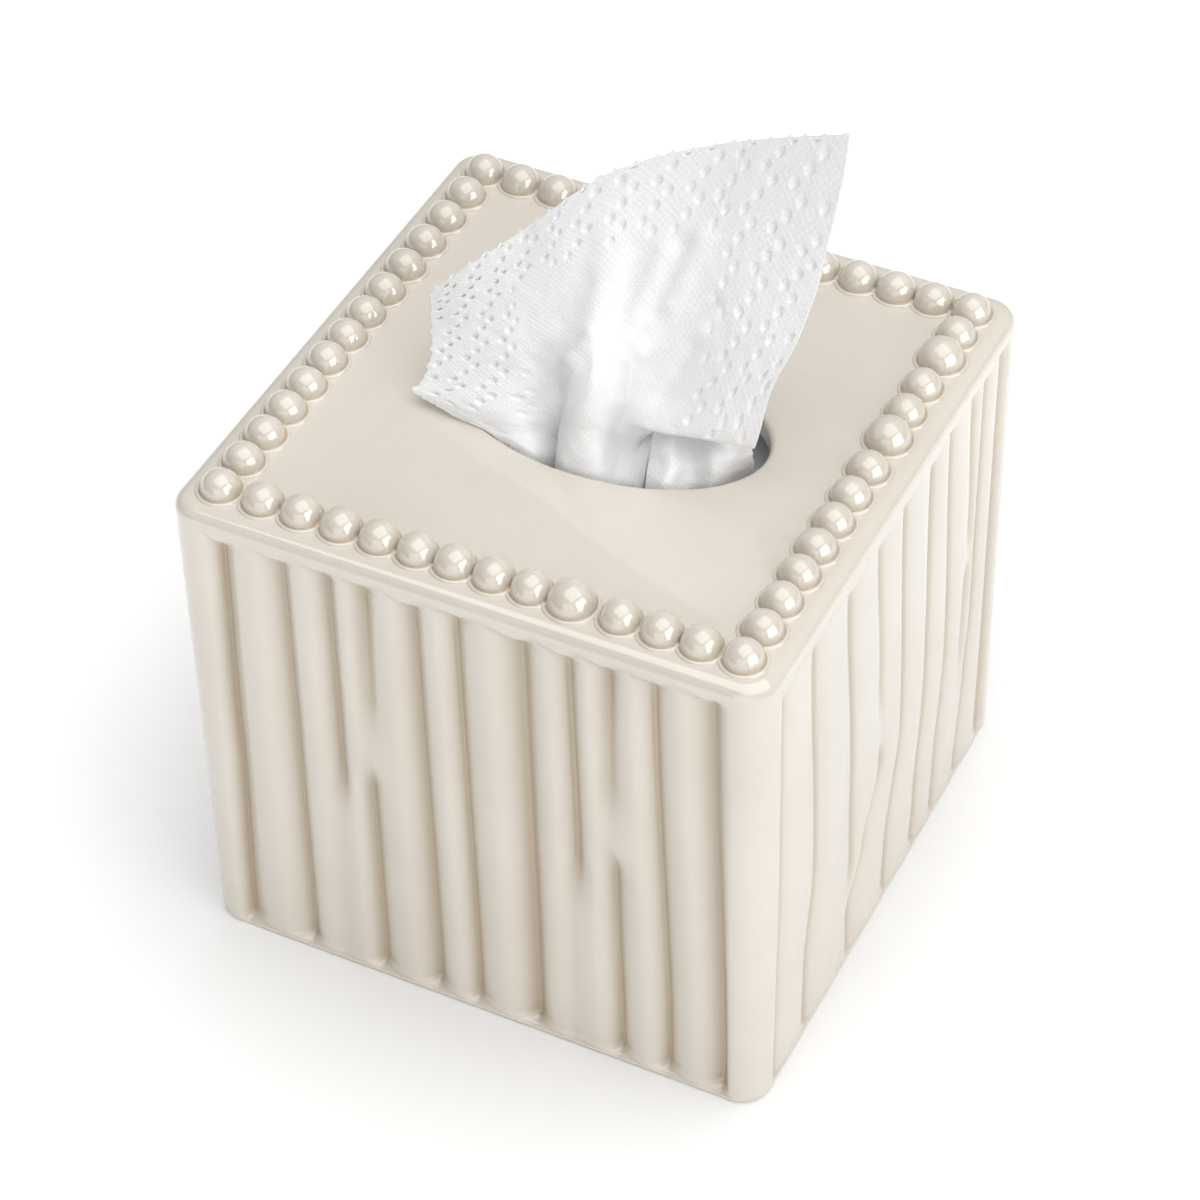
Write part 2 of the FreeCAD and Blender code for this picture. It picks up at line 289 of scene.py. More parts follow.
def glaze_material():
    """Ivory glaze with faint clouds and specks, darker where it pools and where shade is painted in its
    hollows, and dull where the clay is bare.
    """
    material, tree, shader = new_material("ivory_glaze")
    place = object_place(tree)
    cloud = noise(tree, place, 26.0, 3.0, 0.55)
    speck = noise(tree, place, 420.0)
    ripple = noise(tree, place, 95.0, 1.5)
    bare = point_value(tree, "bare")
    tone = mix_colour(tree, value_range(tree, cloud, 0.35, 0.65), GLAZE_LOW, GLAZE_HIGH)
    tone = mix_colour(tree, value_range(tree, speck, 0.62, 0.78, 0.0, 0.10), tone, GLAZE_SPECK)
    # Pooled glaze and painted shade: darker in the grooves, under the glaze's wavy edge and round the beads'
    # feet
    tone = mix_colour(tree, point_value(tree, "pool_and_shade"), tone, GLAZE_POOL_AND_SHADE)
    tone = mix_colour(tree, bare, tone, GLAZE_BARE)
    gloss = value_range(tree, cloud, 0.3, 0.7, 0.02, 0.04)
    set_inputs(tree, shader, {
        "Base Color": tone,
        "Roughness": math_node(tree, "ADD", gloss, math_node(tree, "MULTIPLY", bare, 0.6)),
        "Normal": bump(tree, ripple, 0.05, 0.0006),
        "IOR": 1.75,
        "Coat Weight": 0.4,
        "Coat IOR": 1.7,
        "Coat Roughness": 0.015,
        "Subsurface Weight": 0.08,
        "Subsurface Radius": (0.002, 0.0016, 0.0012),
    })
    return material


def tissue_material():
    """Soft paper: creped along one way, with a fine crossed weave."""
    material, tree, shader = new_material("soft_tissue")
    flat = node(tree, "ShaderNodeUVMap", uv_map="flat").outputs[0]
    crepe = noise(tree, mapped(tree, flat, (1.0, 2.6, 1.0), 0.12), 1300.0)
    threads = []
    for turn in (0.78, -0.78):
        wave = {"Vector": mapped(tree, flat, turn=turn), "Scale": 285.0, "Distortion": 2.4,
                "Detail": 2.0, "Detail Scale": 2.0}
        threads.append(node(tree, "ShaderNodeTexWave", wave).outputs["Fac"])
    weave = math_node(tree, "MULTIPLY", *threads)
    height = math_node(tree, "ADD", math_node(tree, "MULTIPLY", weave, 0.5), crepe)
    set_inputs(tree, shader, {
        "Base Color": mix_colour(tree, value_range(tree, height, 0.3, 1.0), PAPER_LOW, PAPER_HIGH),
        "Normal": bump(tree, height, 0.5, 0.0003),
        "Roughness": 0.92,
        "Specular IOR Level": 0.12,
        "Subsurface Weight": 0.2,
        "Subsurface Radius": (0.003, 0.003, 0.003),
    })
    return material


def board_material():
    """Pale grey paperboard with fine fibres."""
    material, tree, shader = new_material("carton_board")
    place = object_place(tree)
    fibre = noise(tree, mapped(tree, place, (1.0, 1.0, 0.7)), 900.0, 5.0)
    cloud = noise(tree, place, 60.0)
    tone = mix_colour(tree, value_range(tree, fibre, 0.35, 0.68), BOARD_LOW, BOARD_HIGH)
    set_inputs(tree, shader, {
        "Base Color": mix_colour(tree, value_range(tree, cloud, 0.3, 0.7, 0.0, 0.2), tone, BOARD_CLOUD),
        "Roughness": value_range(tree, fibre, 0.3, 0.7, 0.45, 0.62),
        "Normal": bump(tree, fibre, 0.15, 0.0002),
    })
    return material


def film_material():
    """Clear film with soft creases."""
    material, tree, shader = new_material("clear_film")
    crease = noise(tree, object_place(tree), 55.0, 4.0, 0.6)
    set_inputs(tree, shader, {
        "Base Color": mix_colour(tree, value_range(tree, crease, 0.3, 0.7), FILM_LOW, FILM_HIGH),
        "Roughness": value_range(tree, crease, 0.3, 0.7, 0.08, 0.2),
        "Normal": bump(tree, crease, 0.4, 0.0012),
        "Alpha": 0.35,
    })
    return material


# Carved ribs. A groove's points are (share of the height from the top, place in rib pitches, depth share,
# softness in mm).
RIB_TOP, RIB_FOOT, RIB_PITCH = 4.3, 2.4, FLAT / 6
RIB_RECESS, RIB_COLS, LINE_WIDTH = 0.45, 26, 0.75
FRONT_GROOVES = [
    [(0.0, -5.50, 1.0, .5), (0.5, -5.60, 1.0, .5), (1.0, -5.73, 1.0, .5)],
    [(0.0, -4.14, 1.0, .6), (1.0, -4.18, 1.0, .5)],
    [(0.0, -3.09, 1.0, .6), (0.50, -3.09, 1.0, .6), (0.66, -3.20, 0.3, 2.5), (1.0, -3.30, 0.3, 3.0)],
    [(0.0, -2.27, 1.0, 1.0), (0.30, -2.30, 0.8, 1.6), (0.44, -2.34, 0.2, 2.5), (0.54, -2.41, 1.0, .8),
     (1.0, -2.41, 1.0, .8)],
    [(0.0, -1.14, 1.0, .9), (1.0, -1.05, 1.0, .9)],
    [(0.0, -0.18, 1.0, .4), (1.0, -0.07, 1.0, .4)],
    [(0.0, 1.27, 1.1, 1.6), (1.0, 1.36, 1.1, 1.4)],
    [(0.0, 2.32, 1.0, .6), (0.52, 2.41, 1.0, .6), (0.68, 2.30, 0.3, 2.5), (1.0, 2.30, 0.3, 3.0)],
    [(0.0, 3.18, 1.05, 1.0), (0.30, 3.18, 0.8, 1.6), (0.44, 3.20, 0.2, 2.5), (0.54, 3.27, 1.0, .8),
     (1.0, 3.36, 1.0, .5)],
    [(0.0, 4.18, 1.0, .5), (1.0, 4.48, 1.0, .4)],
    [(0.0, 5.45, 1.0, 1.8), (1.0, 5.75, 1.0, 1.6)],
]
RIGHT_GROOVES = [
    [(0.0, -5.70, 0.8, .5), (0.5, -5.60, 0.8, .4), (1.0, -5.72, 0.8, .4)],
    [(0.0, -4.14, 0.9, .5), (0.6, -3.70, 0.9, .4), (0.85, -4.08, 0.9, .4), (1.0, -4.08, 0.9, .4)],
    [(0.0, -2.36, 0.9, .5), (0.55, -1.82, 0.9, .4), (0.78, -1.70, 0.8, .5), (0.85, -1.95, 0.2, 2.0),
     (1.0, -2.30, 0.1, 3.0)],
    [(0.0, -0.86, 0.8, .5), (0.40, -0.45, 0.7, .6), (0.55, -0.30, 0.2, 2.0), (0.62, -0.22, 0.9, .6),
     (0.75, -1.05, 0.9, .4), (0.90, -1.80, 0.9, .4), (1.0, -1.80, 0.9, .4)],
    [(0.0, 0.45, 0.9, .5), (0.60, 0.88, 0.9, .4), (0.88, 0.33, 0.9, .4), (1.0, 0.29, 0.9, .4)],
    [(0.0, 1.90, 0.9, .5), (0.60, 2.20, 0.9, .4), (0.88, 1.95, 0.9, .4), (1.0, 1.88, 0.9, .4)],
    [(0.0, 2.90, 0.9, .5), (0.60, 3.36, 0.9, .4), (0.88, 3.06, 0.9, .4), (1.0, 3.01, 0.9, .4)],
    [(0.0, 4.10, 0.8, .5), (0.36, 4.36, 0.6, .6), (0.44, 4.38, 0.2, 2.0), (0.50, 4.34, 0.7, .6),
     (0.66, 4.28, 0.6, .6), (0.74, 4.20, 0.1, 2.0), (1.0, 3.95, 0.1, 2.0)],
    [(0.0, 4.77, 0.9, .5), (0.60, 4.82, 0.9, .4), (0.75, 4.66, 0.9, .4), (1.0, 4.38, 0.9, .4)],
    [(0.0, 5.64, 0.8, .5), (1.0, 5.74, 0.8, .5)],
]
# A face's grooves, their depth in mm, the shares of the gap to the next groove that their right and left
# flanks take, the share of the depth in the fine line, and whether the ribs are round
Carving = namedtuple("Carving", "grooves depth flanks line round_ribs")
FRONT = Carving(FRONT_GROOVES, 3.4, (0.66, 0.46), 0.08, True)
RIGHT = Carving(RIGHT_GROOVES, 1.9, (0.55, 0.30), 0.45, False)

# Shape of a flank: powers of the flat ribs' two flanks, the second's least width, and a round rib's arch
RIGHT_POWER, LEFT_POWER, LEFT_LEAST = 1.7, 1.9, 3.0
ARCH_SHARE, ARCH_POWER = 0.62, 0.6
# The wavy edge of the glaze under the rim, and how far below it each form reaches its full depth
GLAZE_EDGE, DRIP_LOW, DRIP_HIGH = 3.3, 0.7, 2.4
LINE_FADE, GROOVE_FADE, RECESS_FADE, SIDE_FADE = 9.0, 5.0, 3.2, 5.0
FOOT_FADE_FROM, FOOT_FADE = 0.6, 2.8
# The grooves' tops bend to the left, by up to this much, from this far below the plate and over this length
HOOK, HOOK_FROM, HOOK_LENGTH = 2.4, 9.5, 7.0
# Glaze pooling with painted shade in the grooves, and painted shade in a thin band a little under the
# glaze's wavy edge
POOL_AND_SHADE_POWER, EDGE_SHADE, EDGE_SHADE_RISE, EDGE_SHADE_FALL = 1.6, 0.12, 1.5, 2.5
# Share of even spacing in the columns from groove to groove; the rest draws them closer to the grooves
EVEN_COLS = 0.45


def along(groove, share, item):
    """Value number item of a groove at a share of the height, eased between the groove's points."""
    for low, high in zip(groove, groove[1:]):
        if share <= high[0]:
            part = smooth((share - low[0]) / (high[0] - low[0]))
            return low[item] + (high[item] - low[item]) * part
    return groove[-1][item]


def flank(part, power, round_ribs):
    """Depth share of a groove's flank: 0 at its outer end, 1 at the groove's line."""
    part = np.clip(part, 0, 1)
    if round_ribs:
        return ARCH_SHARE * part ** 2 + (1 - ARCH_SHARE) * (1 - (1 - part ** 2) ** ARCH_POWER)
    return part ** power


def rib_row(carving, z, drips):
    """Places along a face, depths below its plane and glaze pooling with painted shade at one height.

    Each groove is a broad hollow with its own left and right flank, and a fine line carved in it.
    Round ribs are arched from groove to groove, others are flat between their flanks."""
    grooves, depth, flanks, line, round_ribs = carving
    parts = np.arange(RIB_COLS) / RIB_COLS
    parts = EVEN_COLS * parts + (1 - EVEN_COLS) * (0.5 - 0.5 * np.cos(math.pi * parts))
    z_top = HEIGHT - RIB_TOP
    share = min(1.0, max(0.0, (z_top - z) / (z_top - RIB_FOOT)))
    hook = HOOK * min(1.0, max(0.0, (z - HEIGHT + HOOK_FROM) / HOOK_LENGTH)) ** 2
    lines = [-FLAT] + [along(g, share, 1) * RIB_PITCH - hook for g in grooves] + [FLAT]
    sizes = [0.0] + [along(g, share, 2) * depth for g in grooves] + [0.0]
    soft = [1.0] + [along(g, share, 3) for g in grooves] + [1.0]
    foot = smooth((z - FOOT_FADE_FROM) / FOOT_FADE)
    places, depths, pools_and_shade = [], [], []
    for k in range(len(grooves) + 1):
        gap = lines[k + 1] - lines[k]
        u = lines[k] + gap * parts
        drip = drips[k] * (1 - smooth(parts / 0.5)) + drips[k + 1] * smooth((parts - 0.5) / 0.5)
        below = HEIGHT - GLAZE_EDGE - drip - z
        near = np.sqrt((parts * gap) ** 2 + soft[k] ** 2) - soft[k]
        far = np.sqrt(((1 - parts) * gap) ** 2 + soft[k + 1] ** 2) - soft[k + 1]
        groove = 0.0
        for away, width, power, size in ((near, flanks[0] * gap, RIGHT_POWER, sizes[k]),
                                         (far, max(flanks[1] * gap, LEFT_LEAST), LEFT_POWER, sizes[k + 1])):
            hollow = flank(1 - away / width, power, round_ribs) * (1 - line)
            fine = line * smooth(below / LINE_FADE) * np.exp(-(away / LINE_WIDTH) ** 1.5)
            groove = groove + (hollow + fine) * size
        groove = groove * smooth(below / GROOVE_FADE) * foot
        side = smooth((FLAT - np.abs(u)) / SIDE_FADE)
        # Painted shade in a thin band just under the glaze's wavy edge
        shade_under_edge = smooth(below / EDGE_SHADE_RISE)
        shade_under_edge = shade_under_edge * (1 - smooth((below - EDGE_SHADE_RISE) / EDGE_SHADE_FALL))
        places.append(u)
        depths.append(RIB_RECESS * smooth(below / RECESS_FADE) * side * foot + groove)
        # Darker with the groove's depth, for glaze pooling and painted shade, plus the painted shade under
        # the edge
        pools_and_shade.append(np.clip(groove / depth, 0, 1) ** POOL_AND_SHADE_POWER + EDGE_SHADE * shade_under_edge * side)
    return (np.append(np.concatenate(places), FLAT), np.append(np.concatenate(depths), 0.0),
            np.append(np.concatenate(pools_and_shade), 0.0))


def carved_face(carving, heights):
    """The rib rows of one face at each height, under one wavy edge of glaze."""
    drips = rng.uniform(DRIP_LOW, DRIP_HIGH, len(carving.grooves) + 2)
    return [rib_row(carving, z, drips) for z in heights]


# The cover
CORNER_COLS = 14
# Levels of the wall as (from, down to, step), closer together near the top and the foot
WALL_LEVELS = [(HEIGHT - TOP_DROP - 0.3, 121.0, 0.3), (120.0, 9.0, 1.3), (8.4, FOOT_R, 0.6)]
# Below this height the clay is bare. The inside's lower edge is (cut back, height, share of bare clay).
BARE_BELOW = 0.3
INNER_EDGE = [(1.0, 0.0, 1.0), (0.3, 0.3, 1.0), (0.0, 1.0, 0.4)]
INSIDE_FROM, INSIDE_LEVELS, PLATE_LEVELS, CEILING_LEVELS = 4.0, 12, 15, 8


def ring(places, inset, drop, corner_r):
    """One closed line round the cover: each face's places at its inset, then the corner arcs."""
    arc = np.radians(np.arange(1, CORNER_COLS) / CORNER_COLS * 90.0 - 90.0)
    centre = HALF - inset - corner_r
    line = []
    for turn in range(4):
        x = np.append(places[turn], centre + corner_r * np.cos(arc))
        y = np.append(-(HALF - inset) + drop[turn], -centre + corner_r * np.sin(arc))
        line.append(np.stack(quarter_turn(x, y, turn), -1))
    return np.concatenate(line)


def level(xy, z, bare=0.0, pool_and_shade=0.0):
    """One line of the cover at a height: its points, glaze pooling with painted shade, and bare clay."""
    count = len(xy)
    return np.column_stack([xy, np.full(count, z)]), np.broadcast_to(pool_and_shade, count), np.full(count, bare)


def oval(angle, grow):
    """A line round the opening at the given angles, some way outside its edge."""
    a, b = HOLE_A + grow, HOLE_B + grow
    r = 1 / np.sqrt((np.cos(angle) / a) ** 2 + (np.sin(angle) / b) ** 2)
    return np.stack([HOLE_X + r * np.cos(angle), HOLE_Y + r * np.sin(angle)], -1)


def flat_and_lip(start, angle, z, up, count):
    """Levels of a flat from its outer line in to the opening and round the lip; up is 1 on top, -1 below."""
    lip = oval(angle, LIP_R)
    flat = [level(start * (1 - f) + lip * f, z) for f in np.linspace(0, 1, count)[1:]]
    turn = [level(oval(angle, LIP_R - LIP_R * math.sin(a)), z - up * (LIP_R - LIP_R * math.cos(a)))
            for a in quarter(8)[1:]]
    return flat + turn


def outer_levels():
    """The outside from the plate's edge down the carved walls to the foot, and each face's lowest places."""
    outline = [(TOP_IN * (1 - math.cos(a) ** TOP_POWER), HEIGHT - TOP_DROP * (1 - math.sin(a) ** TOP_POWER))
               for a in quarter(16)[::-1]]
    outline += [(0.0, z) for start, end, step in WALL_LEVELS for z in np.arange(start, end, -step)]
    outline += [(FOOT_R - FOOT_R * math.cos(a), FOOT_R - FOOT_R * math.sin(a)) for a in quarter(7)]
    heights = [z for inset, z in outline]
    faces = [carved_face(carving, heights) for carving in (FRONT, RIGHT, FRONT, RIGHT)]
    levels = []
    for (inset, z), *rows in zip(outline, *faces):
        places, depths, pools_and_shade = zip(*rows)
        xy = ring(places, inset, depths, CORNER_R - inset)
        pool_and_shade = np.concatenate([np.append(p, np.zeros(CORNER_COLS - 1)) for p in pools_and_shade])
        levels.append(level(xy, z, 1.0 if z < BARE_BELOW else 0.0, pool_and_shade))
    return levels, places


def inner_levels(plain):
    """The inside: the foot's flat, the plain walls and the rounded corner under the ceiling."""
    def inner_ring(inset, corner_r):
        scale = (HALF - inset - corner_r) / FLAT
        return ring([p * scale for p in plain], inset, [np.zeros_like(p) for p in plain], corner_r)

    top = HEIGHT - PLATE - CEILING_R
    levels = [level(inner_ring(WALL - cut, INNER_R + cut), z, bare) for cut, z, bare in INNER_EDGE]
    levels += [level(inner_ring(WALL, INNER_R), z) for z in np.linspace(INSIDE_FROM, top, INSIDE_LEVELS)]
    for a in quarter(7)[1:]:
        reach = CEILING_R - CEILING_R * math.cos(a)
        levels.append(level(inner_ring(WALL + reach, INNER_R - reach), top + CEILING_R * math.sin(a)))
    return levels


def make_cover(glaze):
    """The glazed body: oval lip, plate, top edge, carved walls, bare foot and plain inside."""
    outer, plain = outer_levels()
    inner = inner_levels(plain)
    edge, under = outer[0][0][:, :2], inner[-1][0][:, :2]
    angle = np.arctan2(edge[:, 1] - HOLE_Y, edge[:, 0] - HOLE_X)
    top = flat_and_lip(edge, angle, HEIGHT, 1, PLATE_LEVELS)
    ceiling = flat_and_lip(under, angle, HEIGHT - PLATE, -1, CEILING_LEVELS)
    grid, pool_and_shade, bare = (np.array(part) for part in zip(*(top[::-1] + outer + inner + ceiling)))
    faces = grid_faces(*grid.shape[:2], loop_rows=True, loop_cols=True)[:, ::-1]
    piece = mesh_object("glazed_cover", grid.reshape(-1, 3), faces, glaze, {"pool_and_shade": pool_and_shade, "bare": bare})
    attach(piece, "cover")
    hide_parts(*[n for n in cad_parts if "shell" in n])


# Beads. The collar of glaze round each is (distance outside the bead, height above the plate, glaze pooling
# with painted shade, darkest in the crease at the bead's foot).
COLLAR = [(1.25, -0.25, 0.25), (1.20, 0.02, 0.35), (1.08, 0.18, 0.15), (0.86, 0.31, 0.0),
          (0.60, 0.34, 0.05), (0.36, 0.24, 0.5), (0.18, 0.14, 0.9), (0.05, 0.18, 0.9), (0.0, 0.32, 0.6)]
BEAD_COLS, BEAD_ROWS, BEAD_LAST_ANGLE, BEAD_UNEVEN = 40, 20, 87, 0.02
# A slight darker tone over each whole bead, and glaze pooling with painted shade towards its foot
BEAD_POOL, BEAD_FOOT_POOL_AND_SHADE = 0.05, 0.25
# Steps from bead to bead along each side, in mm, given one by one and so not quite even
BEAD_STEPS = {
    "front": [10.7, 9.8, 9.9, 9.6, 9.4, 9.2, 9.4, 9.2, 9.6, 11.7, 9.7, 9.3, 9.9],
    "right": [9.7, 9.5, 9.3, 9.2, 9.2, 9.6, 9.7, 11.7, 9.6, 9.9, 11.2, 9.2, 9.4],
    "back": [9.5, 9.4, 9.6, 9.9, 9.7, 9.6, 10.0, 9.8, 10.1, 9.8, 9.7, 9.9, 9.8],
    "left": [10.0, 10.3, 10.3, 10.1, 10.0, 9.3, 9.2, 9.2, 9.8, 9.3, 9.5, 9.6, 10.0],
}
LARGE_BEADS = {"front": [9], "right": [8, 11], "back": [], "left": []}


def bead_form(r):
    """Profile of a bead from under the plate up to the pole: (radius, height above the plate, glaze pooling
    with painted shade).
    """
    form = [(r + out, z, pool_and_shade) for out, z, pool_and_shade in COLLAR]
    for a in np.radians(np.linspace(0, BEAD_LAST_ANGLE, BEAD_ROWS)):
        # Painted shade with pooled glaze, strongest at the bead's widest line and fading upwards
        pool_and_shade = BEAD_POOL + BEAD_FOOT_POOL_AND_SHADE * max(0.0, 1 - a)
        form.append((r * math.cos(a), BEAD_RISE + r * math.sin(a), pool_and_shade))
    return np.array(form)


def bead(place, r, first):
    """Points, faces and glaze pooling with painted shade of one bead at a place along its row; first numbers
    its first point.
    """
    form = bead_form(r)
    squeeze = 1 + rng.uniform(-BEAD_UNEVEN, BEAD_UNEVEN, 2)
    lift = 1 + rng.uniform(-BEAD_UNEVEN, BEAD_UNEVEN)
    spin = np.arange(BEAD_COLS) * (2 * math.pi / BEAD_COLS)
    x = place + form[:, :1] * squeeze[0] * np.cos(spin)
    y = -BEAD_LINE + form[:, :1] * squeeze[1] * np.sin(spin)
    z = np.repeat(HEIGHT + form[:, 1:2] * lift, BEAD_COLS, 1)
    poles = [[place, -BEAD_LINE, HEIGHT + (BEAD_RISE + r) * lift],
             [place, -BEAD_LINE, HEIGHT + COLLAR[0][1]]]
    faces = grid_faces(len(form), BEAD_COLS, loop_cols=True, first=first).tolist()
    pole = first + x.size
    last = pole - BEAD_COLS
    for j in range(BEAD_COLS):
        n = (j + 1) % BEAD_COLS
        faces.append([last + j, last + n, pole])
        faces.append([first + n, first + j, pole + 1])
    points = np.concatenate([np.stack([x, y, z], -1).reshape(-1, 3), poles])
    return points, faces, np.append(np.repeat(form[:, 2], BEAD_COLS), [0.0, 0.0])


def make_beads(name, large, turn, glaze):
    """One side's row of beads, from its left corner up to the next corner's bead."""
    steps = np.array(BEAD_STEPS[name]) * 2 * BEAD_LINE / sum(BEAD_STEPS[name])
    place, count = -BEAD_LINE, 0
    points, faces, pools_and_shade = [], [], []
    for k, step in enumerate(steps):
        size = LARGE_BEAD_D if k in large else BEAD_D
        bead_points, bead_faces, bead_pools_and_shade = bead(place, size / 2, count)
        points.append(bead_points)
        faces += bead_faces
        pools_and_shade.append(bead_pools_and_shade)
        count += len(bead_points)
        place += step
    x, y, z = np.concatenate(points).T
    points = np.stack([*quarter_turn(x, y, turn), z], -1)
    piece = mesh_object("beads_" + name, points, faces, glaze,
                        {"pool_and_shade": np.concatenate(pools_and_shade), "bare": np.zeros(count)})
    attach(piece, "cover")
    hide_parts("bead_row_" + name)
    return piece


# Sheets. Places seen in the photograph are pixels of an enlarged crop of the frame: its scale and corner.
CROP_SCALE, CROP_CORNER = 3.2, np.array([400, 120])
SLIT_Z = 121.5


def spot(x, y, z):
    """A point by its plan place from the opening's middle."""
    return np.array([HOLE_X + x, HOLE_Y + y, z])


def crop_to_frame(px, py):
    return px / CROP_SCALE + CROP_CORNER[0], py / CROP_SCALE + CROP_CORNER[1]


def crop_ray(px, py, y):
    """The point at depth y that the camera sees at a place in the crop."""
    return on_ray(*crop_to_frame(px, py), y)


def at_rim(px, py, behind):
    """A point on the line of sight over the front rim, some way behind the rim."""
    ray = view_ray(*crop_to_frame(px, py))
    edge = CAM_POS + ray * ((HEIGHT - CAM_POS[2]) / ray[2])
    return crop_ray(px, py, edge[1] + behind)


def gathered(left, right, z, depths):
    """A row inside the opening, from left to right, with each column's fold depth."""
    row = []
    for s, d in zip(np.linspace(0, 1, len(depths)), depths):
        row.append(spot(left[0] + (right[0] - left[0]) * s, left[1] + (right[1] - left[1]) * s + d, z))
    return row


def seen(places, depths):
    """A row of points at places in the crop, each at its own depth."""
    return [crop_ray(px, py, y) for (px, py), y in zip(places, depths)]


def lowered(row, drop):
    return [point - np.array([0, 0, drop]) for point in row]


def closed_sheet(name, grid, thick, uv, paper):
    """A thin closed sheet: the grid, its back a paper's thickness behind, and the edge between them."""
    rows, cols = grid.shape[:2]
    count = rows * cols
    back = grid + normals_of(grid) * thick
    index = np.arange(count).reshape(rows, cols)
    rim = np.concatenate([index[0, :-1], index[:-1, -1], index[-1, :0:-1], index[:0:-1, 0]])
    following = np.roll(rim, -1)
    faces = np.concatenate([grid_faces(rows, cols), grid_faces(rows, cols, first=count)[:, ::-1],
                            np.stack([following, rim, rim + count, following + count], -1)])
    uv = uv.reshape(-1, 2) * MM
    points = np.concatenate([grid.reshape(-1, 3), back.reshape(-1, 3)])
    piece = mesh_object(name, points, faces, paper, uv=np.concatenate([uv, uv]))
    return piece


# Raised sheet. Its rows run from the foot to the free top edge, and their points from left to right.
SHEET_COLS, SHEET_ROWS, SHEET_THICK = 440, 480, 0.22
# The rows at the foot and in the slit as (left end, right end, height, each column's fold depth)
SHEET_FOOT = ((-17, -4), (8, -4), 99.2, [0, -5, 3, 5, -4, 4, -5, 4, -4, 4, -4, 2])
SHEET_SLIT = ((-22, -6), (10, -6), SLIT_Z, [0, -4, 2, 5, -3, 2, -5, -1, 4, -3, 4, 0])
RIM_DROP, RIM_FADE = 5.0, 6.0
# The row at the rim of the opening as (place in the crop, distance behind the rim)
SHEET_RIM = [(258, 992, 1.4), (330, 1030, 1.4), (430, 1072, 1.8), (512, 1100, 8.5), (500, 1102, 4.5),
             (515, 1108, 2.0), (566, 1124, 1.4), (628, 1142, 1.8), (690, 1158, 6.0), (735, 1166, 7.5),
             (755, 1170, 7.5), (775, 1174, 8.0)]
# The rows above the rim as places in the crop, and the depth of each
SHEET_NET = [
    ([(180, 950), (285, 985), (415, 1010), (527, 1020), (508, 1012), (524, 1000),
      (578, 1012), (640, 1030), (690, 1050), (745, 1050), (805, 990), (860, 970)],
     [-20.5, -20.5, -19, -11, -16, -19.4, -20.9, -19, -12, -9, -5, -4]),
    ([(53, 878), (200, 910), (365, 935), (537, 935), (524, 930), (540, 905),
      (598, 905), (658, 925), (705, 955), (792, 988), (960, 1018), (1134, 1048)],
     [-19.5, -19.5, -17.5, -10.8, -14.6, -17.8, -19.2, -16.5, -10, -12.5, -13.5, -13]),
    ([(75, 830), (205, 838), (350, 845), (515, 850), (534, 838), (556, 800),
      (618, 785), (672, 812), (725, 850), (830, 880), (1010, 890), (1190, 865)],
     [-16.5, -16.5, -14.8, -10.5, -12.5, -15.2, -16, -13.2, -8.5, -8.5, -10, -10]),
    ([(100, 750), (220, 755), (350, 745), (455, 735), (512, 715), (562, 700),
      (625, 690), (690, 705), (765, 730), (890, 745), (1070, 740), (1265, 725)],
     [-12.5, -12.5, -11.8, -10.4, -10.2, -10.2, -9.8, -8, -5.5, -4.5, -5.5, -6]),
    ([(100, 680), (215, 665), (335, 640), (435, 615), (495, 600), (545, 585),
      (620, 570), (695, 565), (790, 560), (915, 550), (1095, 545), (1330, 560)],
     [-9, -8.5, -7, -5.8, -5.2, -4.8, -4.2, -2.8, -0.5, 1, 0.5, -0.5]),
    ([(99, 610), (208, 570), (322, 525), (422, 480), (485, 450), (535, 428),
      (620, 395), (705, 365), (810, 345), (945, 325), (1130, 315), (1375, 380)],
     [-6.5, -5.5, -3.5, -1.5, -0.5, 0.3, 1.8, 3.4, 5.5, 7, 6.5, 3.5]),
    ([(98, 575), (203, 520), (315, 460), (412, 402), (477, 360), (527, 330),
      (612, 283), (705, 240), (825, 205), (975, 175), (1170, 155), (1420, 190)],
     [-5, -3.5, -1, 1.5, 2.7, 3.7, 5.2, 7, 9, 10.5, 9.5, 6]),
    ([(97, 548), (200, 478), (310, 408), (405, 345), (470, 300), (520, 262),
      (600, 208), (700, 157), (840, 112), (1000, 80), (1200, 57), (1443, 45)],
     [-4, -2, 1, 4, 5.2, 6.2, 8, 9.5, 11, 12, 11, 8]),
]
# The row just behind the right wing's lower edge, from this column on
WING_COLUMN, WING_FOLD = 9, ([(795, 981), (958, 1009), (1129, 1037)], [-11.4, -12, -11.6])
# Rows from here on are open, and the columns are spaced by them
OPEN_ROW = 6
# Soft folds as (start, end, half width, height), with the places and widths in the crop
SHEET_FOLDS = [
    ((735, 690), (850, 430), 42, -1.1), ((800, 600), (900, 400), 38, 0.8),
    ((870, 590), (970, 380), 40, -0.9), ((800, 700), (1000, 590), 32, 1.0),
    ((780, 745), (960, 665), 32, -0.8), ((830, 880), (930, 730), 30, 0.9),
    ((700, 640), (760, 420), 40, 0.8), ((640, 600), (660, 380), 46, -0.7),
    ((520, 900), (545, 770), 26, -0.8), ((545, 770), (615, 690), 26, -0.7),
    ((615, 690), (690, 745), 26, -0.8), ((575, 900), (590, 810), 30, 0.5),
    ((600, 770), (650, 790), 34, 0.6), ((704, 770), (694, 900), 26, -1.0),
    ((694, 900), (676, 1060), 26, -0.9), ((520, 640), (590, 520), 40, 0.5),
    ((410, 880), (490, 780), 28, -0.7), ((430, 770), (530, 680), 32, 0.6),
    ((740, 1000), (770, 800), 28, -0.4), ((120, 890), (330, 800), 40, 0.35),
    ((1010, 900), (1180, 700), 50, -0.4), ((330, 640), (520, 420), 60, -0.4),
]
